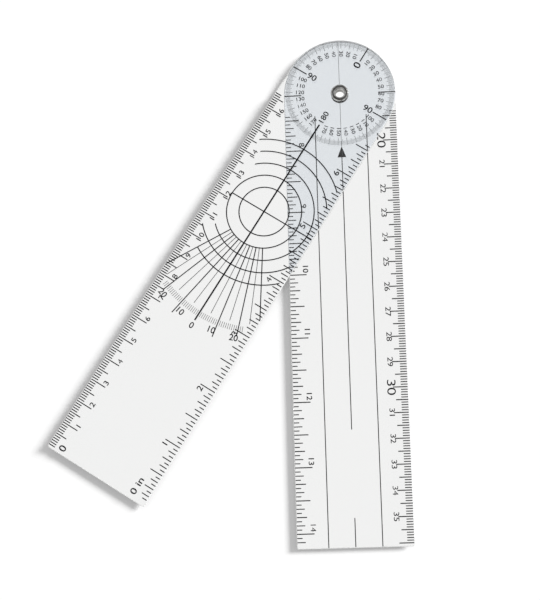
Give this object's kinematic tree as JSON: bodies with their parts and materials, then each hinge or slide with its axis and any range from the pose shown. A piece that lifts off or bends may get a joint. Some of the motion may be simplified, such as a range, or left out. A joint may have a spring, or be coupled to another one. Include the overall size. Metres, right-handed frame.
{
  "type": "angle finder with arms",
  "caption": "Clear plastic angle finder: two flat ruled arms that turn on a hollow rivet, with an angle dial, straight scales and a circle template.",
  "frame": {"origin": "on the pivot axis, at the underside of the rear arm", "axes": "+Z along the pivot from the rear arm to the front arm, -Y along the rear arm from the pivot to its free end, +X to the rear arm's centimetre side"},
  "size_m": [0.141, 0.2038, 0.0049],
  "materials": {
    "clear_plastic": "clear, polished, very slightly blue-grey, with satin cut edges",
    "nickel": "nickel plated, polished with fine wear",
    "ink": "black screen print"
  },
  "bodies": {
    "rear": {"rear_arm": "clear_plastic", "pivot_eyelet": "nickel", "back_washer": "nickel", "rear_pointer": "ink", "rear_guide_lines": "ink", "rear_cm_scale": "ink", "rear_inch_scale": "ink"},
    "front": {"front_arm": "clear_plastic", "front_angle_dial": "ink", "front_circle_template": "ink", "front_cm_scale": "ink", "front_inch_scale": "ink"}
  },
  "joints": [
    {"name": "arm_pivot", "type": "hinge", "parent": "rear", "child": "front", "pos_m": [0, 0, 0], "axis": [0, 0, 1], "continuous": true}
  ]
}
